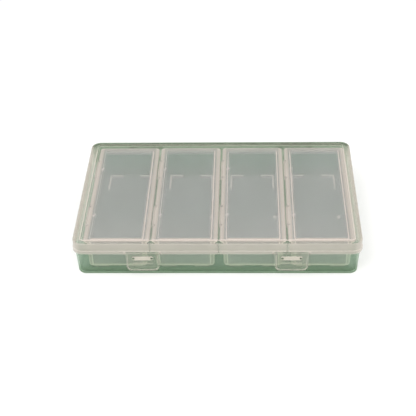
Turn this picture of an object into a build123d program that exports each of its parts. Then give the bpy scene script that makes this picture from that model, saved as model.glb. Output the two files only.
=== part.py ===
from build123d import *

import math
import os

os.makedirs("parts", exist_ok=True)

# A compartment storage box: a green base, a clear hinged lid with two front
# latches, and a row of clear inner boxes, each with its own hinged lid.
# Millimetres. The origin is the centre of the base's underside, +X points to
# the right, +Y to the hinge at the back and +Z up. The lid is drawn closed.

# Outside of the closed case
case_width = 205.0
case_depth = 136.0
parting_height = 19.6
lid_height = 9.1
lid_corner_radius = 7.5

# Main lid
lid_wall = 1.0
lid_top = 1.0
lid_edge_radius = 0.8
lid_lip_height = 2.7
lid_lip_proud = 0.3
lid_lip_edge_radius = 0.18
lid_gap = 0.35
plateau_rise = 0.5
plateau_margin_x = 5.8
plateau_margin_y = 4.0
plateau_corner_radius = 2.5
plateau_edge_radius = 0.25

# Base
base_wall = 1.2
base_floor = 1.3
base_draft = 1.1
base_edge_radius = 1.5
base_well_edge_radius = 0.8
rim_rise = 2.2
back_wall_gap = 0.2
back_wall_reach = 11.0

# Rear hinges: each has a leg and a barrel on the lid between two base ears
hinge_count = 2
hinge_spacing = 120.0
hinge_leg_width = 20.0
hinge_leg_thickness = 1.5
hinge_leg_set_down = 0.6
hinge_leg_bend = 2.0
hinge_leg_waist = 3.7
hinge_set_back = 3.2
hinge_axis_rise = 0.9
hinge_barrel_radius = 2.3
hinge_pin_radius = 1.25
hinge_pin_fit = 0.05
hinge_side_gap = 0.3
hinge_ear_thickness = 3.0
hinge_ear_radius = 2.6
hinge_ear_root_height = 8.0
hinge_ear_root_rise = 1.3

# Front latches: flaps that hang from the lip and snap over ribs on the base
latch_count = 2
latch_spacing = 105.0
latch_width = 23.4
latch_thickness = 1.1
latch_stand_off = 0.5
latch_drop = 14.8
latch_corner_radius = 4.5
latch_axis_rise = 0.8
latch_barrel_radius = 0.9
latch_pin_radius = 0.5
latch_pin_fit = 0.05
latch_side_gap = 0.25
latch_pin_end_gap = 0.2
latch_lug_thickness = 1.2
latch_lug_radius = 1.1
latch_notch_gap = 0.3
latch_rim_width = 1.0
latch_rim_proud = 0.3
latch_bar_length = 14.9
latch_bar_height = 3.0
latch_bar_proud = 0.8
latch_bar_drop = 3.5
latch_dimple_radius = 0.7
latch_dimple_spacing = 13.0
latch_bead_length = 14.0
latch_bead_height = 1.2
latch_bead_proud = 0.45
latch_bead_slope = 0.4
latch_bead_drop = 9.2
catch_height = 1.2
catch_slope = 0.4
catch_gap = 0.6
catch_clearance = 0.1

# Inner boxes, set side by side and slid to the right by what play allows
inner_count = 4
inner_gap = 1.4
inner_side_play = 3.55
inner_end_play = 3.75
inner_shift = 1.2
inner_top_play = 0.6
inner_wall = 1.0
inner_floor = 1.0
inner_flange_x = 1.9
inner_flange_y = 1.3
inner_flange_thickness = 1.0
inner_draft = 0.6
inner_corner_radius = 3.0
inner_bottom_radius = 1.8
inner_well_edge_radius = 0.9
foot_height = 1.0
foot_width = 1.4
foot_inset_x = 3.7
foot_inset_y = 1.4
foot_arm_x = 10.5
foot_arm_y = 19.0
nub_radius = 1.5
nub_height = 2.5
gate_radius = 1.3
gate_height = 0.6
gate_inset = 3.1

# Inner lids
inner_lid_thickness = 1.0
panel_rise = 0.8
panel_margin_x = 4.8
panel_margin_front = 1.6
panel_margin_rear = 4.9
panel_corner_radius = 1.5
panel_edge_radius = 0.3
border_edge_radius = 0.3
panel_skin = 1.0
plug_depth = 2.6
plug_thickness = 0.9
plug_clearance = 0.25
small_hinge_spacing = 61.4
small_hinge_length = 21.0
small_hinge_radius = 1.1
small_hinge_inset = 0.2
small_pin_radius = 0.55
small_pin_fit = 0.05
small_ear_width = 1.8
small_hinge_gap = 0.25

# Worked out: half sizes of the lid's skirt and of the base's wall above the
# parting line, and the heights that stack up
lip_half_x = case_width / 2
lip_half_y = case_depth / 2
skirt_half_x = lip_half_x - lid_lip_proud
skirt_half_y = lip_half_y - lid_lip_proud
skirt_radius = lid_corner_radius - lid_lip_proud
rim_half_x = skirt_half_x - lid_wall - lid_gap
rim_half_y = skirt_half_y - lid_wall - lid_gap
rim_radius = skirt_radius - lid_wall - lid_gap
rim_top = parting_height + rim_rise
shoulder_top = parting_height + lid_height
shoulder_under = shoulder_top - lid_top
plateau_top = shoulder_top + plateau_rise
plateau_under = plateau_top - lid_top
back_wall_half_x = lip_half_x - lid_gap
back_wall_half_y = lip_half_y - lid_gap
back_wall_radius = lid_corner_radius - lid_gap
back_wall_top = shoulder_under - back_wall_gap

hinge_y = lip_half_y + hinge_set_back
hinge_z = parting_height + hinge_axis_rise

latch_y = -lip_half_y
latch_z = parting_height + latch_axis_rise
latch_inner_y = latch_y + latch_stand_off

well_half_x = rim_half_x - base_wall
well_half_y = rim_half_y - base_wall
inner_row = 2 * (well_half_x - inner_side_play)
inner_width = (inner_row - (inner_count - 1) * inner_gap) / inner_count
inner_depth = 2 * (well_half_y - inner_end_play)
inner_pitch = inner_width + inner_gap
panel_top = plateau_under - inner_top_play
border_top = panel_top - panel_rise
inner_rim_top = border_top - inner_lid_thickness
flange_under = inner_rim_top - inner_flange_thickness
inner_bottom = base_floor + foot_height
body_top_x = inner_width - 2 * inner_flange_x
body_top_y = inner_depth - 2 * inner_flange_y
body_low_x = body_top_x - 2 * inner_draft
body_low_y = body_top_y - 2 * inner_draft
small_hinge_x = small_hinge_inset - inner_width / 2
small_ear_offset = small_hinge_length / 2 + small_hinge_gap + small_ear_width / 2


def spread(count, spacing):
    """Centres of count items, spacing apart, about zero."""
    return [(n - (count - 1) / 2) * spacing for n in range(count)]


def slab(size_x, size_y, radius, low, high):
    """A flat block with rounded plan corners."""
    return Pos(0, 0, low) * extrude(RectangleRounded(size_x, size_y, radius), high - low)


def tapered(low_size, high_size, radius, low, high):
    """A block with rounded plan corners whose walls lean outwards."""
    bottom = Pos(0, 0, low) * RectangleRounded(*low_size, radius)
    top = Pos(0, 0, high) * RectangleRounded(*high_size, radius)
    return loft([bottom, top])


def block(x_range, y_range, z_range):
    """A plain block from its limits along each axis."""
    sizes = [high - low for low, high in (x_range, y_range, z_range)]
    return Pos(x_range[0], y_range[0], z_range[0]) * Box(*sizes, align=(Align.MIN,) * 3)


def rod_x(centre_x, y, z, radius, length):
    """A round rod along X."""
    return Pos(centre_x, y, z) * Rot(0, 90, 0) * Cylinder(radius, length)


def rod_y(x, centre_y, z, radius, length):
    """A round rod along Y."""
    return Pos(x, centre_y, z) * Rot(90, 0, 0) * Cylinder(radius, length)


def profile_x(points, centre_x, length):
    """An outline of (y, z) points, extruded evenly about centre_x."""
    face = Polyline(*[(centre_x - length / 2, y, z) for y, z in points], close=True)
    return extrude(make_face(face), length, dir=(1, 0, 0))


def bottom_edges(solid):
    return solid.faces().sort_by(Axis.Z)[0].outer_wire().edges()


def top_edges(solid):
    return solid.faces().sort_by(Axis.Z)[-1].outer_wire().edges()


def wall_y(z):
    """How far the base's leaning wall is from the middle, in Y, at a height."""
    return rim_half_y - base_draft * (1 - z / parting_height)


def hinge_side(radius):
    """All that lies within a radius of the hinge axis, and all behind it."""
    far = 2 * case_depth
    within = rod_x(0, hinge_y, hinge_z, radius, 2 * case_width)
    return within + block((-case_width, case_width), (hinge_y, far), (-far, far))


def back_wall():
    """The high wall that takes the place of the lid's skirt along the back and round its corners.

    It is solid here. Its ends follow an arc about the hinge axis, so that the skirt can swing past them."""
    high = (2 * back_wall_half_x, 2 * back_wall_half_y)
    lean = back_wall_half_y - rim_half_y
    low = (high[0] - 2 * lean - base_wall, high[1] - 2 * lean - base_wall)
    wall = slab(*high, back_wall_radius, parting_height, back_wall_top)
    wall += tapered(low, high, back_wall_radius, parting_height - lean - base_wall / 2, parting_height)
    return wall & hinge_side(back_wall_reach)


def base_shell():
    low = (2 * (rim_half_x - base_draft), 2 * (rim_half_y - base_draft))
    high = (2 * rim_half_x, 2 * rim_half_y)
    outer = tapered(low, high, rim_radius, 0, parting_height)
    outer = fillet(bottom_edges(outer), base_edge_radius)
    outer += slab(*high, rim_radius, parting_height, rim_top)
    outer += back_wall()
    thick = 2 * base_wall
    well_radius = rim_radius - base_wall
    low_well = (low[0] - thick, low[1] - thick)
    high_well = (high[0] - thick, high[1] - thick)
    well = tapered(low_well, high_well, well_radius, base_floor, parting_height)
    well = fillet(bottom_edges(well), base_well_edge_radius)
    well += slab(*high_well, well_radius, parting_height, back_wall_top)
    return outer - well


def ear(centre_x):
    """One base ear of a rear hinge, with its pin hole."""
    root_y = wall_y(hinge_z - hinge_ear_root_height) - base_wall / 2
    round_end = Pos(hinge_y, hinge_z) * Circle(hinge_ear_radius)
    root_z = hinge_z + hinge_ear_root_rise - hinge_ear_root_height / 2
    root = Pos(root_y, root_z) * Rectangle(base_wall / 4, hinge_ear_root_height)
    outline = make_hull(round_end.edges() + root.edges())
    outline -= Pos(hinge_y, hinge_z) * Circle(hinge_pin_radius + hinge_pin_fit)
    side = Plane(origin=(centre_x - hinge_ear_thickness / 2, 0, 0), x_dir=(0, 1, 0), z_dir=(1, 0, 0))
    return side * extrude(outline, hinge_ear_thickness)


def hinge_ears():
    offset = hinge_leg_width / 2 + hinge_side_gap + hinge_ear_thickness / 2
    ears = [ear(x + side * offset) for x in spread(hinge_count, hinge_spacing) for side in (-1, 1)]
    # The ear's outline is cut to the outside of the wall, so the well stays clear
    inside = block((-lip_half_x, lip_half_x), (0, rim_half_y - base_wall), (0, rim_top))
    return [one - inside for one in ears]


def catch(centre_x):
    """The rib on the base's front wall that a latch snaps under."""
    bead_top = latch_z - latch_bead_drop + latch_bead_height / 2
    low = bead_top + catch_gap
    high = low + catch_height
    crest = latch_inner_y + latch_bead_proud + catch_clearance
    root = -wall_y(low) + base_wall / 2
    points = [(root, low), (crest, low + catch_slope), (crest, high - catch_slope), (root, high)]
    return profile_x(points, centre_x, latch_bead_length)


def base_tray():
    tray = base_shell()
    for one in hinge_ears():
        tray += one
    for x in spread(latch_count, latch_spacing):
        tray += catch(x)
    return tray


def lid_shell():
    lip = slab(case_width, case_depth, lid_corner_radius, parting_height, parting_height + lid_lip_height)
    skirt = slab(2 * skirt_half_x, 2 * skirt_half_y, skirt_radius, parting_height, shoulder_top)
    skirt = fillet(top_edges(skirt), lid_edge_radius)
    plateau = slab(case_width - 2 * plateau_margin_x, case_depth - 2 * plateau_margin_y,
                   plateau_corner_radius, shoulder_top, plateau_top)
    plateau = fillet(top_edges(plateau), plateau_edge_radius)
    lip = fillet(bottom_edges(lip) + top_edges(lip), lid_lip_edge_radius)
    shell = lip + skirt + plateau
    shell -= slab(2 * (skirt_half_x - lid_wall), 2 * (skirt_half_y - lid_wall), skirt_radius - lid_wall,
                  0, shoulder_under)
    hollow_x = case_width - 2 * (plateau_margin_x + lid_wall)
    hollow_y = case_depth - 2 * (plateau_margin_y + lid_wall)
    shell -= slab(hollow_x, hollow_y, plateau_corner_radius - lid_wall, shoulder_under, plateau_under)
    # The skirt ends where the base's high back wall begins
    below = block((-case_width, case_width), (0, case_depth), (0, shoulder_under))
    return shell - (below & hinge_side(back_wall_reach + lid_gap))


def hinge_leg(centre_x):
    """A leg that comes down behind the back wall to its barrel and pins."""
    inner = lip_half_y
    outer = inner + hinge_leg_thickness
    root = inner - 2 * lid_wall
    leg_top = shoulder_top - hinge_leg_set_down
    reach_y = outer - hinge_y
    turn = math.atan2(hinge_leg_waist, reach_y)
    turn -= math.acos(hinge_barrel_radius / math.hypot(reach_y, hinge_leg_waist))
    touch = (hinge_y + hinge_barrel_radius * math.cos(turn), hinge_z + hinge_barrel_radius * math.sin(turn))
    points = [(root, shoulder_under), (root, leg_top), (outer, leg_top), (outer, hinge_z + hinge_leg_waist),
              touch, (hinge_y, hinge_z), (inner, hinge_z), (inner, shoulder_under)]
    leg = profile_x(points, centre_x, hinge_leg_width)
    bend = leg.edges().filter_by(Axis.X).sort_by_distance((centre_x, outer, leg_top))[0]
    leg = fillet(bend, hinge_leg_bend)
    leg += rod_x(centre_x, hinge_y, hinge_z, hinge_barrel_radius, hinge_leg_width)
    pin_length = hinge_leg_width + 2 * (hinge_side_gap + hinge_ear_thickness)
    return leg + rod_x(centre_x, hinge_y, hinge_z, hinge_pin_radius, pin_length)


def latch_lug(centre_x):
    """One small lug under the lip that holds an end of a latch's pin."""
    round_end = Pos(latch_y, latch_z) * Circle(latch_lug_radius)
    root_z = parting_height + lid_lip_height / 2
    root = Pos(lid_wall / 2 - skirt_half_y, root_z) * Rectangle(lid_wall / 2, lid_lip_height)
    outline = make_hull(round_end.edges() + root.edges())
    outline -= Pos(latch_y, latch_z) * Circle(latch_pin_radius + latch_pin_fit)
    side = Plane(origin=(centre_x - latch_lug_thickness / 2, 0, 0), x_dir=(0, 1, 0), z_dir=(1, 0, 0))
    return side * extrude(outline, latch_lug_thickness)


def main_lid():
    lid = lid_shell()
    for x in spread(hinge_count, hinge_spacing):
        lid += hinge_leg(x)
    half_slot = latch_width / 2 + latch_side_gap
    notch_top = latch_z + latch_barrel_radius + latch_notch_gap
    hole_length = 2 * (half_slot + latch_lug_thickness + latch_pin_end_gap)
    for x in spread(latch_count, latch_spacing):
        for side in (-1, 1):
            lid += latch_lug(x + side * (half_slot + latch_lug_thickness / 2))
        lid -= rod_x(x, latch_y, latch_z, latch_pin_radius + latch_pin_fit, hole_length)
        lid -= block((x - half_slot, x + half_slot), (latch_y - lid_gap, latch_y + 2 * lid_wall),
                     (0, notch_top))
    return lid


def latch_outline(margin):
    """The flap's front outline, drawn smaller by a margin and open at the top."""
    width = latch_width - 2 * margin
    low = latch_z - latch_drop + margin
    outline = Pos(0, (low + latch_z) / 2) * Rectangle(width, latch_z - low)
    return fillet(outline.vertices().group_by(Axis.Y)[0], latch_corner_radius - margin)


def latch_bar():
    """The finger bar's outline, with its two dimples."""
    bar = SlotOverall(latch_bar_length, latch_bar_height)
    for x in spread(2, latch_dimple_spacing):
        bar -= Pos(x, 0) * Circle(latch_dimple_radius)
    return Pos(0, latch_z - latch_bar_drop) * bar


def latch(centre_x):
    front = Plane(origin=(centre_x, latch_inner_y, 0), x_dir=(1, 0, 0), z_dir=(0, -1, 0))
    flap = front * extrude(latch_outline(0), latch_thickness)
    rim = latch_outline(0) - latch_outline(latch_rim_width)
    flap += front * extrude(rim, latch_thickness + latch_rim_proud)
    flap += front * extrude(latch_bar(), latch_thickness + latch_bar_proud)
    root = latch_inner_y - latch_thickness / 2
    crest = latch_inner_y + latch_bead_proud
    low = latch_z - latch_bead_drop - latch_bead_height / 2
    high = low + latch_bead_height
    points = [(root, low), (crest, low + latch_bead_slope), (crest, high - latch_bead_slope), (root, high)]
    flap += profile_x(points, centre_x, latch_bead_length)
    flap += rod_x(centre_x, latch_y, latch_z, latch_barrel_radius, latch_width)
    pin_length = latch_width + 2 * (latch_side_gap + latch_lug_thickness)
    return flap + rod_x(centre_x, latch_y, latch_z, latch_pin_radius, pin_length)


def small_ears():
    """Ears on the flange's left edge that hold the inner lid's pins."""
    ears = []
    for y in spread(2, small_hinge_spacing):
        for side in (-1, 1):
            centre = y + side * small_ear_offset
            one = rod_y(small_hinge_x, centre, inner_rim_top, small_hinge_radius, small_ear_width)
            one += block((small_hinge_x, small_hinge_x + 2 * small_hinge_radius),
                         (centre - small_ear_width / 2, centre + small_ear_width / 2),
                         (flange_under, inner_rim_top))
            hole = rod_y(small_hinge_x, centre, inner_rim_top, small_pin_radius + small_pin_fit,
                         2 * small_ear_width)
            ears.append(one - hole)
    return ears


def foot(side_x, side_y):
    """The L-shaped rib under one corner, sunk into the floor."""
    corner_x = body_low_x / 2 - foot_inset_x
    corner_y = body_low_y / 2 - foot_inset_y
    heights = (base_floor, inner_bottom + inner_floor / 2)
    short = block((corner_x - foot_arm_x, corner_x), (corner_y - foot_width, corner_y), heights)
    long = block((corner_x - foot_width, corner_x), (corner_y - foot_arm_y, corner_y), heights)
    rib = short + long
    if side_x < 0:
        rib = mirror(rib, Plane.YZ)
    if side_y < 0:
        rib = mirror(rib, Plane.XZ)
    return rib


def inner_shell():
    """The tapered body with its flange, hollowed out."""
    low = (body_low_x, body_low_y)
    high = (body_top_x, body_top_y)
    body = tapered(low, high, inner_corner_radius, inner_bottom, flange_under)
    body = fillet(bottom_edges(body), inner_bottom_radius)
    body += slab(inner_width, inner_depth, inner_corner_radius, flange_under, inner_rim_top)
    thick = 2 * inner_wall
    well_low = (low[0] - thick, low[1] - thick)
    well_high = (high[0] - thick, high[1] - thick)
    well_radius = inner_corner_radius - inner_wall
    well = tapered(well_low, well_high, well_radius, inner_bottom + inner_floor, flange_under)
    well = fillet(bottom_edges(well), inner_well_edge_radius)
    return body - well - slab(*well_high, well_radius, flange_under, inner_rim_top)


def nub(y):
    """A half-round gusset under the flange, on the left wall."""
    face = inner_wall - body_top_x / 2
    whole = Pos(face, y, flange_under - nub_height / 2) * Cylinder(nub_radius, nub_height)
    outside = block((face - nub_radius, face - inner_wall / 2), (y - nub_radius, y + nub_radius),
                    (flange_under - nub_height, flange_under))
    return whole - outside


def inner_box():
    box = inner_shell()
    # The flange is cut back where the lid's barrels turn
    reach = small_hinge_x + small_hinge_radius + small_hinge_gap
    half = small_ear_offset + small_ear_width / 2
    for y in spread(2, small_hinge_spacing):
        box -= block((-inner_width, reach), (y - half, y + half), (flange_under, inner_rim_top))
        box += nub(y)
    for one in small_ears():
        box += one
    for side_x in (-1, 1):
        for side_y in (-1, 1):
            box += foot(side_x, side_y)
    gate_x = body_low_x / 2 - inner_wall - gate_inset
    gate_low = inner_bottom + inner_floor / 2
    gate_reach = inner_floor / 2 + gate_height
    gate = Pos(gate_x, 0, gate_low + gate_reach / 2) * Cylinder(gate_radius, gate_reach)
    return box + gate


def plug():
    """The ring under an inner lid that fits inside the box's mouth.

    It reaches up into the lid's border, and at the front into the skin of the raised panel."""
    outer_x = body_top_x - 2 * (inner_wall + plug_clearance)
    outer_y = body_top_y - 2 * (inner_wall + plug_clearance)
    radius = inner_corner_radius - inner_wall - plug_clearance
    low = inner_rim_top - plug_depth
    high = (panel_top - panel_skin + border_top) / 2
    ring = slab(outer_x, outer_y, radius, low, high)
    thick = 2 * plug_thickness
    ring -= slab(outer_x - thick, outer_y - thick, radius - plug_thickness, low, high)
    # It stays open on the hinge side
    return ring - block((-outer_x / 2, plug_depth - outer_x / 2), (-outer_y / 2, outer_y / 2), (low, high))


def inner_lid():
    lid = fillet(top_edges(slab(inner_width, inner_depth, inner_corner_radius, inner_rim_top, border_top)),
                 border_edge_radius)
    panel_x = inner_width - 2 * panel_margin_x
    panel_y = inner_depth - panel_margin_front - panel_margin_rear
    middle = Pos(0, (panel_margin_front - panel_margin_rear) / 2, 0)
    panel = middle * slab(panel_x, panel_y, panel_corner_radius, border_top, panel_top)
    lid += fillet(top_edges(panel), panel_edge_radius)
    thick = 2 * panel_skin
    lid -= middle * slab(panel_x - thick, panel_y - thick, panel_corner_radius - panel_skin,
                         inner_rim_top, panel_top - panel_skin)
    lid += plug()
    pin_length = 2 * (small_ear_offset + small_ear_width / 2)
    reach = small_hinge_x + small_hinge_radius + small_hinge_gap
    half = small_ear_width / 2 + small_hinge_gap
    for y in spread(2, small_hinge_spacing):
        for centre in (y - small_ear_offset, y + small_ear_offset):
            lid -= block((-inner_width, reach), (centre - half, centre + half), (inner_rim_top, border_top))
        lid += rod_y(small_hinge_x, y, inner_rim_top, small_hinge_radius, small_hinge_length)
        lid += rod_y(small_hinge_x, y, inner_rim_top, small_pin_radius, pin_length)
    return lid


def save(part, name):
    export_step(part, os.path.join("parts", name + ".step"))


save(base_tray(), "base_tray")
save(main_lid(), "main_lid")
for side_name, latch_x in zip(("left", "right"), spread(latch_count, latch_spacing)):
    save(latch(latch_x), "latch_" + side_name)
one_box = inner_box()
one_lid = inner_lid()
for number, offset_x in enumerate(spread(inner_count, inner_pitch), start=1):
    place = Pos(offset_x + inner_shift, 0, 0)
    save(place * one_box, "inner_box_" + str(number))
    save(place * one_lid, "inner_lid_" + str(number))
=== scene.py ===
import math

import bpy
from mathutils import Matrix, Vector

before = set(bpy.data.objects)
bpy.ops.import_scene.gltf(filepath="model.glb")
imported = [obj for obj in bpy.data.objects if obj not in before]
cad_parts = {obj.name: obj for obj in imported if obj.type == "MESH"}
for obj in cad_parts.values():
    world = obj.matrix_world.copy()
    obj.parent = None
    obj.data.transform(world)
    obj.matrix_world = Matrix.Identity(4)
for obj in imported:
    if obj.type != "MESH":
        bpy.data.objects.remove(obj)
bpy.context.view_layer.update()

# The compartment storage box in see-through plastics on a white floor. Lengths are metres along the
# frame's axes. A pair of numbers holds a band's two sides or the two ends of a fade, and where its name ends
# in HALF, half the size in X and in Y.

# The row of inner boxes and the two latches
BOX_COUNT = 4
BOX_PITCH = 0.0484
FIRST_BOX_X = -0.0714
LATCH_X = 0.0525

# Base tray. The strip at the rear runs over the lid too, and over the hinge legs and ears
BACK_WALL_Y = (0.0600, 0.0679)
REAR_STRIP_Y = (0.0655, 0.2)
TRAY_FRONT_Y = (-0.0632, -0.0626)
TRAY_SIDE_X = (0.0972, 0.0978)
TRAY_FOOT_Z = (0.0012, 0.0028)
TRAY_FLOOR_Z = (0.0012, 0.0040)
TRAY_GLOW_Z = (0.004, 0.010)
TRAY_CORNER_X = (0.090, 0.097)

# Main lid: its latch lugs, the gaps between boxes behind it, its edge over the tray's back wall, its shoulder
# and its raised top
LUG_REACH = 0.0134
LUG_Y = (-0.08, -0.0679)
LUG_Z = (0.0212, 0.0215)
GAP = (0.0232, 0.0240)
GAP_FRONT_Y = (-0.0622, -0.0618)
GAPS_END_X = (0.080, 0.085)
OVER_WALL_SIDE_X = (0.0983, 0.0988)
OVER_WALL_SIDE_Y = (0.0610, 0.0620)
OVER_WALL_REAR_Y = (0.0636, 0.0640)
OVER_WALL_OUTSIDE_Y = (0.0678, 0.0680)
OVER_WALL_Z = (0.0270, 0.0272)
SHOULDER_X = (0.0966, 0.0968)
SHOULDER_START_Y = (-0.0641, -0.0639)
SHOULDER_FRONT_Y = (-0.0662, -0.0658)
SHOULDER_REAR_Y = (0.052, 0.064)
FURROW_X = (0.0979, 0.0989)
TOP_STEP_HALF = (0.0968, 0.0638)
TOP_STEP_RADIUS = 0.0025
TOP_STEP_WIDTH = 0.0012
TOP_STEP_LEFT_X = (-0.0962, -0.0958)
TOP_STEP_REAR_Y = (0.055, 0.062)
TOP_STEP_Z = (0.0285, 0.0288)

# Inner lids. X is counted from the middle of the lid, apart from ROW_X and OUTER_LIDS_X
PANEL_SIDE_X = (0.0186, 0.0188)
BORDER_X = (0.0196, 0.0211)
BORDER_EDGE_X = (0.0211, 0.0226)
BARRELS_X = (0.0226, 0.0229)
LID_FRONT_Y = (-0.0599, -0.0597)
LID_REAR_Y = (0.0564, 0.0566)
RING_Y = (0.0567, 0.0597)
PANEL_PALE_Y = (-0.058, -0.025)
PANEL_GREEN_Y = (0.018, 0.050)
PANEL_END_Y = (0.0562, 0.0566)
OUTER_LIDS_X = (0.035, 0.060)
ROW_X = (-0.09, 0.055)
PANEL_MIDDLE_Y = -0.00165
PANEL_HALF = (0.0189, 0.0585)
PANEL_RADIUS = 0.0015
PANEL_STEP_WIDTH = 0.0009
PANEL_LEFT_X = (-0.0181, -0.0179)
PANEL_REAR_Y = (0.0540, 0.0560)
RIM_HALF = (0.0231, 0.0610)
RIM_RADIUS = 0.003
RIM_WIDTH = 0.0008
KNOB_X = -0.0186
KNOB_Y = 0.0307
KNOB = (0.0008, 0.0018)
LID_TOP_Z = (0.0255, 0.026)

# Inner boxes. X is counted from the middle of the box, and what ends in FROM_SIDE from its leaning side wall
BOX_LOW_Z = 0.0023
BOX_LOW_HALF_X = 0.0210
BOX_LEAN = 0.0267
OUTER_FROM_SIDE = (-0.0010, -0.0007)
INNER_FROM_SIDE = (-0.0034, -0.0027)
GLOW_FROM_SIDE = (-0.0034, -0.0030)
BOX_FRONT_Y = (-0.0575, -0.0570)
BOX_REAR_Y = (0.0567, 0.0571)
BOX_CORNER_Y = (0.0562, 0.0567)
LOW_LINE_Z = (0.0020, 0.0046)
BOX_FLOOR_Z = (0.0042, 0.0046)
REAR_WALL_Z = (0.005, 0.016)
FOOT_END_X = (0.0068, 0.0173)
FOOT_END_Y = (0.0567, 0.0581)
FOOT_SIDE_X = (0.0159, 0.0173)
FOOT_SIDE_Y = (0.0391, 0.0581)
GATE_X = 0.0169
GATE = (0.0012, 0.0016)

# Latches. X is counted from the middle of the latch
BAR_X = (-0.001, 0.0076)
BAR_Y = (-0.08, -0.0689)
BAR_Z = (0.0154, 0.0184)
PIT_X = 0.0065
PIT_Z = 0.0169
PIT = (0.0008, 0.0011)
BARREL_Z = (0.0190, 0.0194)

# What all the plastics share: soft borders, edges and fillets with their painted highlights, flow clouds, rub
# marks, bumps and light.
# CLOUD_COVER, CLOUD_EDGES and CLOUD_ROUGHNESS hold a factor between the clouds and one in them
SOFT = 0.00015
LINE_FADE = (0.3, 0.6)
BEVEL_SAMPLES = 4
SHARP = (0.03, 0.12)
FILLET_LEANING = 4.0
FILLET_TURNING = 3.0
FILLET = (0.10, 0.9)
UPRIGHT = (0.3, 0.8)
CLOUD_SCALE = 22.0
CLOUD_DETAIL = 4.0
CLOUD_ROUGH = 0.55
CLOUD = (0.3, 0.7)
CLOUD_MILK = 0.95
CLOUD_COVER = (0.88, 1.12)
CLOUD_EDGES = (0.85, 1.0)
CLOUD_ROUGHNESS = (0.8, 1.25)
RUB_TURN = (0.0, 0.0, 0.35)
RUB_SCALE = (60.0, 1400.0, 400.0)
RUB_DETAIL = 2.0
RUBBED = (0.62, 0.82)
RUBBED_ROUGHNESS = 0.15
RUBBED_COVER = 0.015
FINE_SCALE = 900.0
FINE_DETAIL = 2.0
BUMP_SHARE = 0.5
BUMP_STRENGTH = 0.25
BUMP_HEIGHT = 0.00001
ACRYLIC_IOR = 1.49
GRAZING_POWER = 3.0
GRAZING_DEPTH = 2.0
THICK_DEPTH = 4.0
LAMP_DEPTH = 0.6
LAMP_COVER = 0.35
CLEAR_COVER = 0.15
# Painted highlight: the light colour that edges, fillets and moulded steps take
EDGE_HIGHLIGHT_COLOUR = (0.76, 0.66, 0.615)
# Milky frost on the lid's shoulder and the latch bar, and painted glow on the inner boxes' front walls
FROST_AND_GLOW_COLOUR = (0.60, 0.55, 0.48)
LONG_FLOW = (1.0, 0.4, 1.0)

# Floor, world and camera
FLOOR_HALF = 3.0
FLOOR_Z = -0.0003
FLOOR_COLOUR = (0.93, 0.93, 0.93)
FLOOR_GLOW = 0.12
WHITE = (1.0, 1.0, 1.0)
SKY_COLOUR = (1.0, 0.99, 0.97)
SKY_STRENGTH = 0.9
CAMERA_PLACE = (0.0212458, -0.6883001, 0.4940932)
CAMERA_YAW = -0.0428767
CAMERA_PITCH = 0.6108356
CAMERA_ROLL = -0.0265222
CAMERA_CLIP = (0.01, 20.0)
PHOTO_WIDTH_PIXELS = 416.0
FOCAL_PIXELS = 1110.973
SENSOR_MM = 36.0


class Graph:
    """A small helper that adds and links shader nodes."""

    def __init__(self, tree):
        self.tree = tree
        tree.nodes.clear()

    def add(self, kind, **settings):
        node = self.tree.nodes.new(kind)
        for name, value in settings.items():
            setattr(node, name, value)
        return node

    def link(self, source, target):
        self.tree.links.new(source, target)

    def put(self, socket, value):
        if isinstance(value, bpy.types.NodeSocket):
            self.link(value, socket)
        else:
            socket.default_value = value

    def math(self, operation, a, b=0.0, clamp=False):
        node = self.add("ShaderNodeMath", operation=operation, use_clamp=clamp)
        self.put(node.inputs[0], a)
        self.put(node.inputs[1], b)
        return node.outputs[0]

    def plus(self, a, b):
        return self.math("ADD", a, b)

    def minus(self, a, b):
        return self.math("SUBTRACT", a, b)

    def absolute(self, value):
        return self.math("ABSOLUTE", value)

    def times(self, result, *others):
        for other in others:
            result = self.math("MULTIPLY", result, other)
        return result

    def most(self, result, *others):
        for other in others:
            result = self.math("MAXIMUM", result, other)
        return result

    def ramp(self, value, fade, start, end):
        """From start to end over the fade, and level outside it."""
        node = self.add("ShaderNodeMapRange", clamp=True)
        for socket, number in zip(node.inputs, (value, *fade, start, end)):
            self.put(socket, number)
        return node.outputs[0]

    def rise(self, value, fade, top=1.0):
        return self.ramp(value, fade, 0.0, top)

    def fall(self, value, fade, top=1.0):
        return self.ramp(value, fade, top, 0.0)

    def blend(self, fac, a, b):
        """From a where fac is 0 to b where it is 1."""
        return self.ramp(fac, (0.0, 1.0), a, b)

    def noise(self, vector, scale, detail, rough=0.5):
        node = self.add("ShaderNodeTexNoise")
        self.link(vector, node.inputs["Vector"])
        node.inputs["Scale"].default_value = scale
        node.inputs["Detail"].default_value = detail
        node.inputs["Roughness"].default_value = rough
        return node.outputs["Fac"]

    def mapping(self, vector, scale, turn=(0.0, 0.0, 0.0)):
        node = self.add("ShaderNodeMapping")
        self.link(vector, node.inputs["Vector"])
        node.inputs["Rotation"].default_value = turn
        node.inputs["Scale"].default_value = scale
        return node.outputs[0]

    def mix_colour(self, fac, a, b):
        node = self.add("ShaderNodeMix", data_type="RGBA")
        self.put(node.inputs["Factor"], fac)
        self.put(node.inputs["A"], a)
        self.put(node.inputs["B"], b)
        return node.outputs["Result"]

    def mix_shader(self, fac, a, b):
        node = self.add("ShaderNodeMixShader")
        for socket, value in zip(node.inputs, (fac, a, b)):
            self.link(value, socket)
        return node.outputs[0]

    def finish(self, shader, kind="ShaderNodeOutputMaterial"):
        self.link(shader, self.add(kind).inputs["Surface"])


def rgba(colour):
    """A colour with full opacity."""
    return (*colour, 1.0)


def power(colour, exponent):
    """A tint as it shows through this many times the thickness."""
    return [channel ** exponent for channel in colour]


def coordinates(g, place, names="XYZ"):
    """A place's coordinates along the named axes."""
    axes = g.add("ShaderNodeSeparateXYZ")
    g.link(place, axes.inputs[0])
    return [axes.outputs[name] for name in names]


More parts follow.
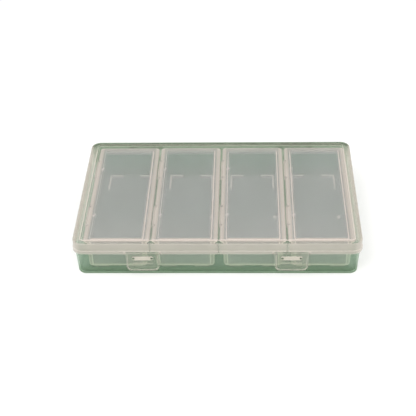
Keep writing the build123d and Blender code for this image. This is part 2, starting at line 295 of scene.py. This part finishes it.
def edge_mask(g, width, fillet_share):
    """1 along the edges and on the small fillets of a moulding, where the painted highlight goes, 0 on its
    flat faces.
    """
    rounded = g.add("ShaderNodeBevel", samples=BEVEL_SAMPLES)
    rounded.inputs["Radius"].default_value = width
    true = g.add("ShaderNodeNewGeometry").outputs["Normal"]
    cosine = g.add("ShaderNodeVectorMath", operation="DOT_PRODUCT")
    g.link(rounded.outputs[0], cosine.inputs[0])
    g.link(true, cosine.inputs[1])
    sharp = g.rise(g.minus(1.0, cosine.outputs["Value"]), SHARP)
    # A fillet's normal is neither level nor upright, nor square to the walls
    normal = g.add("ShaderNodeTexCoord").outputs["Normal"]
    x, y, z = [g.times(share, share) for share in coordinates(g, normal)]
    leaning = g.times(z, g.minus(1.0, z), FILLET_LEANING)
    turning = g.times(x, y, FILLET_TURNING)
    fillet = g.rise(g.plus(leaning, turning), FILLET, fillet_share)
    return g.most(sharp, fillet)


def upright_mask(g):
    """1 on walls, 0 on level faces."""
    normal = g.add("ShaderNodeTexCoord").outputs["Normal"]
    return g.fall(g.absolute(coordinates(g, normal, "Z")[0]), UPRIGHT)


def inside(g, axis, band):
    """1 where a coordinate lies in the band, with soft borders."""
    low, high = band
    return g.times(g.rise(axis, (low - SOFT, low + SOFT)), g.fall(axis, (high - SOFT, high + SOFT)))


def distance(g, u, v):
    """How far the point (u, v) is from (0, 0)."""
    return g.math("SQRT", g.plus(g.times(u, u), g.times(v, v)))


def outline(g, u, v, halves, radius, width):
    """1 on a line along a rounded rectangle's outline."""
    sides = [g.minus(g.absolute(axis), half - radius) for axis, half in zip((u, v), halves)]
    corner = distance(g, *[g.most(side, 0.0) for side in sides])
    within = g.math("MINIMUM", g.most(*sides), 0.0)
    away = g.absolute(g.minus(g.plus(corner, within), radius))
    return g.fall(away, [share * width for share in LINE_FADE])


def flow_clouds(g, place, stretch):
    """Slow clouds in the plastic, longer where stretch is under 1."""
    return g.rise(g.noise(g.mapping(place, stretch), CLOUD_SCALE, CLOUD_DETAIL, CLOUD_ROUGH), CLOUD)


def rub_marks(g, place):
    """Thin marks of use along X."""
    return g.rise(g.noise(g.mapping(place, RUB_SCALE, RUB_TURN), 1.0, RUB_DETAIL), RUBBED)


def milky_surface(g, place, colour, roughness, cloud, rubbed):
    """What the plastic scatters and reflects, rougher in the clouds and on the rub marks."""
    surface = g.add("ShaderNodeBsdfPrincipled")
    g.link(colour, surface.inputs["Base Color"])
    smooth = g.blend(cloud, *[roughness * share for share in CLOUD_ROUGHNESS])
    g.link(g.plus(smooth, g.times(rubbed, RUBBED_ROUGHNESS)), surface.inputs["Roughness"])
    surface.inputs["IOR"].default_value = ACRYLIC_IOR
    fine = g.noise(place, FINE_SCALE, FINE_DETAIL)
    bump = g.add("ShaderNodeBump")
    bump.inputs["Strength"].default_value = BUMP_STRENGTH
    bump.inputs["Distance"].default_value = BUMP_HEIGHT
    g.link(g.plus(g.times(fine, BUMP_SHARE), g.times(cloud, BUMP_SHARE)), bump.inputs["Height"])
    g.link(bump.outputs[0], surface.inputs["Normal"])
    return surface.outputs[0]


def see_through(name, tint, milk, level_cover, wall_cover, highlight_colour, highlight_cover, edge_width, grazing,
                roughness, frost_and_glow_mask, frost_and_glow_cover, frost_and_glow_colour, clear_and_shade_mask, thicker, deep=None, highlight_lines=None,
                fillet_share=0.8, stretch=(1.0, 1.0, 1.0)):
    """Moulded see-through plastic: tinted, a little milky, with painted highlights along its edges, with flow
    marks and rubbing.

    Its four mask makers, in order, mark the areas that are milkier, and those lighter with a painted glow;
    the areas that are clearer, the latch's barrel among them as painted shade; the areas deeper in colour;
    and the moulded steps, which get painted highlights.
    lined makes a mask of the moulded steps that catch the light."""
    material = bpy.data.materials.new(name)
    material.use_nodes = True
    g = Graph(material.node_tree)
    place = g.add("ShaderNodeTexCoord").outputs["Object"]
    cloud = flow_clouds(g, place, stretch)
    rubbed = rub_marks(g, place)
    # Milkier areas, and areas made lighter as painted glow
    frost_and_glow = frost_and_glow_mask(g, place)
    # Painted highlight: edges, fillets and the moulded steps take a light colour and more cover
    edge = edge_mask(g, edge_width, fillet_share)
    if highlight_lines:
        edge = g.most(edge, highlight_lines(g, place))
    edge = g.times(edge, g.blend(cloud, *CLOUD_EDGES))
    turned = g.math("POWER", g.add("ShaderNodeLayerWeight").outputs["Facing"], GRAZING_POWER)
    # Milky plastic passes on most of the light that it scatters
    path = g.add("ShaderNodeLightPath")
    lamp = g.most(path.outputs["Is Shadow Ray"], path.outputs["Is Diffuse Ray"])

    body = g.mix_colour(cloud, rgba([channel * CLOUD_MILK for channel in milk]), rgba(milk))
    body = g.mix_colour(frost_and_glow, body, rgba(frost_and_glow_colour))
    body = g.mix_colour(edge, body, rgba(highlight_colour))
    surface = milky_surface(g, place, body, roughness, cloud, rubbed)

    colour = g.mix_colour(turned, rgba(tint), rgba(power(tint, GRAZING_DEPTH)))
    colour = g.mix_colour(thicker(g, place), colour, rgba(deep or power(tint, THICK_DEPTH)))
    through = g.add("ShaderNodeBsdfTransparent")
    g.link(g.mix_colour(lamp, colour, rgba(power(tint, LAMP_DEPTH))), through.inputs["Color"])

    cover = g.plus(g.blend(upright_mask(g), level_cover, wall_cover), g.times(frost_and_glow, frost_and_glow_cover))
    cover = g.times(cover, g.blend(cloud, *CLOUD_COVER))
    cover = g.plus(cover, g.times(turned, grazing))
    cover = g.plus(cover, g.times(edge, highlight_cover))
    cover = g.math("ADD", cover, g.times(rubbed, RUBBED_COVER), clamp=True)
    # Clearer areas; on the latch's barrel this stands in for the shade under the lip
    cover = g.times(cover, g.blend(clear_and_shade_mask(g, place), 1.0, CLEAR_COVER), g.blend(lamp, 1.0, LAMP_COVER))
    g.finish(g.mix_shader(cover, through.outputs[0], surface))
    return material


def box_local(g, x):
    """Distance in X from the middle of the nearest inner box."""
    # Two pitches more keep the sum above 0 over the whole case
    shifted = g.plus(x, 2.5 * BOX_PITCH - FIRST_BOX_X)
    return g.minus(g.math("MODULO", shifted, BOX_PITCH), BOX_PITCH / 2)


def rear_strip(g, place):
    """The rear strip of the tray and the lid, with the hinge legs and ears behind it."""
    return inside(g, coordinates(g, place, "Y")[0], REAR_STRIP_Y)


def thick_zone(g, place, foot_depth=1.6, floor_depth=0.6):
    """The tray's thick back wall, but not the hinge ears behind it, its floor and the round of its foot."""
    x, y, z = coordinates(g, place)
    outside = g.most(g.fall(y, TRAY_FRONT_Y), g.rise(g.absolute(x), TRAY_SIDE_X))
    foot = g.times(outside, g.fall(z, TRAY_FOOT_Z, foot_depth))
    return g.most(inside(g, y, BACK_WALL_Y), foot, g.fall(z, TRAY_FLOOR_Z, floor_depth))


def painted_tray_glow(g, place, front=0.7, corner=2.2):
    """Painted light: the upper part of the tray's walls lighter, most of all at the corners, for the light
    they gather from the clear lid above.
    """
    x, z = coordinates(g, place, "XZ")
    glow = g.ramp(g.absolute(x), TRAY_CORNER_X, front, corner)
    return g.times(upright_mask(g), glow, g.rise(z, TRAY_GLOW_Z))


def lid_clear(g, place, gap=0.42):
    """The lid's rear strip and hinge legs, its lugs at the latches, and its front where the gaps show."""
    x, y, z = coordinates(g, place)
    near = inside(g, g.minus(g.absolute(x), LATCH_X), (-LUG_REACH, LUG_REACH))
    lugs = g.times(inside(g, y, LUG_Y), g.fall(z, LUG_Z), near)
    gaps = g.times(g.rise(g.absolute(box_local(g, x)), GAP, gap), g.fall(y, GAP_FRONT_Y),
                   g.fall(g.absolute(x), GAPS_END_X))
    return g.most(lugs, rear_strip(g, place), gaps)


def over_wall(g, place):
    """The lid's edge above the tray's back wall, which lends it its colour."""
    x, y, z = coordinates(g, place)
    side = g.times(g.rise(g.absolute(x), OVER_WALL_SIDE_X), g.rise(y, OVER_WALL_SIDE_Y))
    edge = g.most(g.rise(y, OVER_WALL_REAR_Y), side)
    return g.times(edge, g.rise(z, OVER_WALL_Z), g.fall(y, OVER_WALL_OUTSIDE_Y))


def shoulder_zone(g, place, side=0.85, furrow=0.30, rear=0.1, front=0.20):
    """The lid's shoulder at the front and the sides of its raised top, with a clearer furrow at the step."""
    x, y = coordinates(g, place, "XY")
    across = g.absolute(x)
    beside = g.minus(g.rise(across, SHOULDER_X, side), g.times(inside(g, across, FURROW_X), furrow))
    beside = g.times(beside, g.ramp(y, SHOULDER_REAR_Y, 1.0, rear), g.rise(y, SHOULDER_START_Y))
    before = g.fall(y, SHOULDER_FRONT_Y, front)
    return g.times(g.minus(1.0, upright_mask(g)), g.most(beside, before))


def top_step_highlight(g, place, left=0.45, rest=0.65):
    """Painted highlight along the step round the lid's raised top, duller on the left and lost above the back
    wall.
    """
    x, y, z = coordinates(g, place)
    step = outline(g, x, y, TOP_STEP_HALF, TOP_STEP_RADIUS, TOP_STEP_WIDTH)
    fade = g.times(g.fall(y, TOP_STEP_REAR_Y), g.ramp(x, TOP_STEP_LEFT_X, left, rest))
    return g.times(step, fade, g.rise(z, TOP_STEP_Z))


def cover_frost(g, place, border_inner=0.25, border_outer=1.1, border_edge=0.3, rear=0.65, panel=0.16):
    """The flat border round each inner lid's panel, the rear of the ring below it and the panel's front."""
    x, y = coordinates(g, place, "XY")
    across = g.absolute(box_local(g, x))
    border = g.plus(g.ramp(across, BORDER_X, border_inner, border_outer),
                    g.rise(across, BORDER_EDGE_X, border_edge))
    beside = g.times(g.rise(across, PANEL_SIDE_X), border)
    ends = g.plus(g.fall(y, LID_FRONT_Y), g.rise(y, LID_REAR_Y, rear))
    ring = g.times(upright_mask(g), inside(g, y, RING_Y))
    return g.most(beside, ends, ring, g.fall(y, PANEL_PALE_Y, panel))


def cover_clear(g, place, barrels=0.5):
    """The small hinge barrels at an inner lid's edge, which let the gap show."""
    x = coordinates(g, place, "X")[0]
    return g.rise(g.absolute(box_local(g, x)), BARRELS_X, barrels)


def cover_rear(g, place, outer=0.6):
    """The rear of each panel, which picks up the green of the back wall, most of all in the middle."""
    x, y = coordinates(g, place, "XY")
    rear = g.times(g.rise(y, PANEL_GREEN_Y), g.fall(y, PANEL_END_Y))
    return g.times(rear, g.ramp(g.absolute(x), OUTER_LIDS_X, 1.0, outer))


def cover_highlight_lines(g, place, first_left=0.15, last_left=0.9, rear=0.62, rim=0.25, knob=0.6):
    """Painted highlight along the step round each inner lid's panel, the lid's own edge and the knobs at its
    hinge side.

    The highlight on the step's left side is dull on the first lid and bright on the last."""
    x, y, z = coordinates(g, place)
    local = box_local(g, x)
    step = outline(g, local, g.minus(y, PANEL_MIDDLE_Y), PANEL_HALF, PANEL_RADIUS, PANEL_STEP_WIDTH)
    left = g.ramp(x, ROW_X, first_left, last_left)
    step = g.times(step, g.ramp(local, PANEL_LEFT_X, left, 1.0), g.ramp(y, PANEL_REAR_Y, 1.0, rear))
    edge = g.times(outline(g, local, y, RIM_HALF, RIM_RADIUS, RIM_WIDTH), rim)
    knobs = g.fall(distance(g, g.minus(local, KNOB_X), g.minus(g.absolute(y), KNOB_Y)), KNOB, knob)
    return g.times(g.most(step, edge, knobs), g.rise(z, LID_TOP_Z))


def floor_marks(g, place):
    """Where the L-shaped feet under a box's floor and its moulding gate show through."""
    x, y, z = coordinates(g, place)
    local = box_local(g, x)
    across = g.absolute(local)
    along = g.absolute(y)
    ends = g.times(inside(g, across, FOOT_END_X), inside(g, along, FOOT_END_Y))
    sides = g.times(inside(g, across, FOOT_SIDE_X), inside(g, along, FOOT_SIDE_Y))
    gate = g.fall(distance(g, g.minus(local, GATE_X), y), GATE)
    return g.times(g.most(ends, sides, gate), g.fall(z, BOX_FLOOR_Z))


def from_side(g, place):
    """How far a point of an inner box is outside its leaning side wall, in X."""
    x, z = coordinates(g, place, "XZ")
    lean = g.times(g.minus(z, BOX_LOW_Z), BOX_LEAN)
    return g.minus(g.minus(g.absolute(box_local(g, x)), BOX_LOW_HALF_X), lean)


def box_highlights_and_marks(g, place, inner=0.8, marks=0.45):
    """The painted highlight along the outline of an inner box's front and its inside corners, and the marks
    in the floor.
    """
    y, z = coordinates(g, place, "YZ")
    beyond = from_side(g, place)
    corners = g.times(inside(g, beyond, INNER_FROM_SIDE), inner)
    lines = g.most(g.rise(beyond, OUTER_FROM_SIDE), corners, inside(g, z, LOW_LINE_Z))
    lines = g.times(lines, g.fall(y, BOX_FRONT_Y))
    return g.most(lines, g.times(floor_marks(g, place), marks))


def box_glow_and_marks(g, place, middle=0.47, edges=0.80):
    """Painted light: the front walls of the inner boxes milkier and lighter, more so near their sides, for
    the light from above that fills them; and the marks in their floors.
    """
    y = coordinates(g, place, "Y")[0]
    glow = g.ramp(from_side(g, place), GLOW_FROM_SIDE, middle, edges)
    return g.most(floor_marks(g, place), g.times(upright_mask(g), glow, g.fall(y, BOX_FRONT_Y)))


def box_rear(g, place, low=0.5):
    """The rear wall of an inner box, which takes the colour of the tray's wall behind it."""
    y, z = coordinates(g, place, "YZ")
    upward = g.times(g.rise(z, BOX_FLOOR_Z), g.ramp(z, REAR_WALL_Z, low, 1.0))
    return g.times(g.rise(y, BOX_REAR_Y), upward)


def box_clear(g, place, corner=0.8):
    """The rear corner of an inner box's well, which shows only where the feet are."""
    y, z = coordinates(g, place, "YZ")
    low = inside(g, z, (0.0, BOX_FLOOR_Z[1]))
    return g.times(low, g.rise(y, BOX_CORNER_Y, corner), g.minus(1.0, floor_marks(g, place)))


def from_latch(g, x):
    """Distance in X from the middle of the nearest latch."""
    return g.absolute(g.minus(g.absolute(x), LATCH_X))


def latch_frost(g, place):
    """The raised finger bar."""
    x, y, z = coordinates(g, place)
    return g.times(inside(g, from_latch(g, x), BAR_X), inside(g, z, BAR_Z), inside(g, y, BAR_Y))


def pits(g, place):
    """The pits near the ends of the finger bar."""
    x, z = coordinates(g, place, "XZ")
    return g.fall(distance(g, g.minus(from_latch(g, x), PIT_X), g.minus(z, PIT_Z)), PIT)


def latch_pits_and_shade(g, place, barrel=0.6):
    """The pits, and the latch's barrel made clearer as painted shade under the lip."""
    z = coordinates(g, place, "Z")[0]
    return g.most(pits(g, place), g.rise(z, BARREL_Z, barrel))


def dress(node, material):
    """Gives a CAD node its material."""
    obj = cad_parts[node]
    if not obj.material_slots:
        obj.data.materials.append(material)
    for slot in obj.material_slots:
        slot.material = material


def lid_plastic():
    return see_through(
        "clear_lid_plastic", tint=(0.96, 0.96, 0.955), milk=(0.48, 0.46, 0.40), level_cover=0.07,
        wall_cover=0.56, highlight_colour=EDGE_HIGHLIGHT_COLOUR, highlight_cover=0.80, edge_width=0.0005, fillet_share=0.25,
        grazing=0.40, roughness=0.14, frost_and_glow_mask=shoulder_zone, frost_and_glow_cover=0.32, frost_and_glow_colour=FROST_AND_GLOW_COLOUR,
        clear_and_shade_mask=lid_clear, thicker=over_wall, deep=(0.54, 0.60, 0.53), highlight_lines=top_step_highlight)


def latch_plastic():
    return see_through(
        "clear_latch_plastic", tint=(0.95, 0.95, 0.93), milk=(0.50, 0.52, 0.45), level_cover=0.10,
        wall_cover=0.13, highlight_colour=EDGE_HIGHLIGHT_COLOUR, highlight_cover=0.52, edge_width=0.0005, grazing=0.35,
        roughness=0.16, frost_and_glow_mask=latch_frost, frost_and_glow_cover=0.60, frost_and_glow_colour=FROST_AND_GLOW_COLOUR, clear_and_shade_mask=latch_pits_and_shade,
        thicker=pits, deep=(0.50, 0.60, 0.50))


def box_plastic():
    return see_through(
        "clear_box_plastic", tint=(0.955, 0.955, 0.96), milk=(0.46, 0.47, 0.50), level_cover=0.10,
        wall_cover=0.07, highlight_colour=(0.84, 0.77, 0.68), highlight_cover=0.85, edge_width=0.0005,
        fillet_share=0.25, grazing=0.12, roughness=0.18, stretch=LONG_FLOW, frost_and_glow_mask=box_glow_and_marks,
        frost_and_glow_cover=0.85, frost_and_glow_colour=FROST_AND_GLOW_COLOUR, clear_and_shade_mask=box_clear, thicker=box_rear,
        deep=(0.68, 0.83, 0.79), highlight_lines=box_highlights_and_marks)


def cover_plastic():
    return see_through(
        "clear_cover_plastic", tint=(0.955, 0.955, 0.965), milk=(0.44, 0.455, 0.49), level_cover=0.24,
        wall_cover=0.25, highlight_colour=EDGE_HIGHLIGHT_COLOUR, highlight_cover=0.85, edge_width=0.0004, grazing=0.30,
        roughness=0.16, stretch=LONG_FLOW, frost_and_glow_mask=cover_frost, frost_and_glow_cover=0.36,
        frost_and_glow_colour=(0.63, 0.56, 0.52), clear_and_shade_mask=cover_clear, thicker=cover_rear,
        deep=(0.79, 0.885, 0.84), highlight_lines=cover_highlight_lines)


# The green plastic's lighter second colour is painted light on its upper walls
def green_plastic():
    return see_through(
        "green_base_plastic", tint=(0.82, 0.865, 0.82), milk=(0.24, 0.32, 0.24), level_cover=0.10,
        wall_cover=0.10, highlight_colour=(0.33, 0.43, 0.33), highlight_cover=0.05, edge_width=0.0008,
        grazing=0.08, roughness=0.2, frost_and_glow_mask=painted_tray_glow, frost_and_glow_cover=0.06,
        frost_and_glow_colour=(0.42, 0.54, 0.45), clear_and_shade_mask=rear_strip, thicker=thick_zone)


def dress_all():
    """Gives every CAD node its plastic."""
    dress("main_lid", lid_plastic())
    latch = latch_plastic()
    for side in ("left", "right"):
        dress("latch_" + side, latch)
    box = box_plastic()
    cover = cover_plastic()
    for number in range(1, BOX_COUNT + 1):
        dress("inner_box_%d" % number, box)
        dress("inner_lid_%d" % number, cover)
    dress("base_tray", green_plastic())


def white_share(g):
    """1 where the camera, a reflection or clear plastic looks straight at this, else 0."""
    path = g.add("ShaderNodeLightPath")
    kinds = ("Is Camera Ray", "Is Glossy Ray", "Is Transmission Ray")
    return g.most(*[path.outputs[kind] for kind in kinds])


def make_floor():
    """A wide matt white floor under the case, a little lighter where it is looked at."""
    half = FLOOR_HALF
    mesh = bpy.data.meshes.new("floor")
    corners = [(x, y, FLOOR_Z) for x, y in ((-half, -half), (half, -half), (half, half), (-half, half))]
    mesh.from_pydata(corners, [], [(0, 1, 2, 3)])
    floor = bpy.data.objects.new("floor", mesh)
    bpy.context.collection.objects.link(floor)
    material = bpy.data.materials.new("floor_white")
    material.use_nodes = True
    g = Graph(material.node_tree)
    matt = g.add("ShaderNodeBsdfDiffuse")
    matt.inputs["Color"].default_value = rgba(FLOOR_COLOUR)
    glow = g.add("ShaderNodeEmission")
    glow.inputs["Color"].default_value = rgba(WHITE)
    glow.inputs["Strength"].default_value = 1.0
    g.finish(g.mix_shader(g.times(white_share(g), FLOOR_GLOW), matt.outputs[0], glow.outputs[0]))
    mesh.materials.append(material)


def background(g, colour, strength):
    node = g.add("ShaderNodeBackground")
    node.inputs["Color"].default_value = rgba(colour)
    node.inputs["Strength"].default_value = strength
    return node.outputs[0]


def make_world():
    """Soft light from all sides, on plain white where it is looked at."""
    world = bpy.data.worlds.new("studio")
    bpy.context.scene.world = world
    world.use_nodes = True
    g = Graph(world.node_tree)
    soft = background(g, SKY_COLOUR, SKY_STRENGTH)
    g.finish(g.mix_shader(white_share(g), soft, background(g, WHITE, 1.0)), "ShaderNodeOutputWorld")


def make_lamp(name, place, size, watts):
    """An area lamp that faces the case."""
    data = bpy.data.lights.new(name, "AREA")
    data.shape = "RECTANGLE"
    data.size, data.size_y = size
    data.energy = watts
    obj = bpy.data.objects.new(name, data)
    bpy.context.collection.objects.link(obj)
    obj.location = place
    obj.rotation_euler = (-Vector(place)).to_track_quat("-Z", "Y").to_euler()


def make_camera():
    """The camera of the photograph, found from the case's corners."""
    level = math.cos(CAMERA_PITCH)
    forward = Vector((math.sin(CAMERA_YAW) * level, math.cos(CAMERA_YAW) * level, -math.sin(CAMERA_PITCH)))
    right = Vector((math.cos(CAMERA_YAW), -math.sin(CAMERA_YAW), 0.0))
    up = right.cross(forward)
    rolled_right = math.cos(CAMERA_ROLL) * right + math.sin(CAMERA_ROLL) * up
    rolled_up = math.cos(CAMERA_ROLL) * up - math.sin(CAMERA_ROLL) * right
    data = bpy.data.cameras.new("camera")
    data.sensor_width = SENSOR_MM
    data.lens = FOCAL_PIXELS / PHOTO_WIDTH_PIXELS * SENSOR_MM
    data.clip_start, data.clip_end = CAMERA_CLIP
    camera = bpy.data.objects.new("camera", data)
    bpy.context.collection.objects.link(camera)
    rotation = Matrix((rolled_right, rolled_up, -forward)).transposed()
    camera.matrix_world = Matrix.Translation(CAMERA_PLACE) @ rotation.to_4x4()
    bpy.context.scene.camera = camera


dress_all()
make_floor()
make_world()
make_lamp("key", place=(-0.35, -0.45, 0.9), size=(0.6, 0.5), watts=4.0)
make_lamp("fill", place=(0.6, -0.3, 0.6), size=(0.6, 0.6), watts=1.6)
make_camera()

scene = bpy.context.scene
scene.view_settings.view_transform = "Standard"
scene.cycles.transparent_max_bounces = 48
scene.cycles.max_bounces = 16
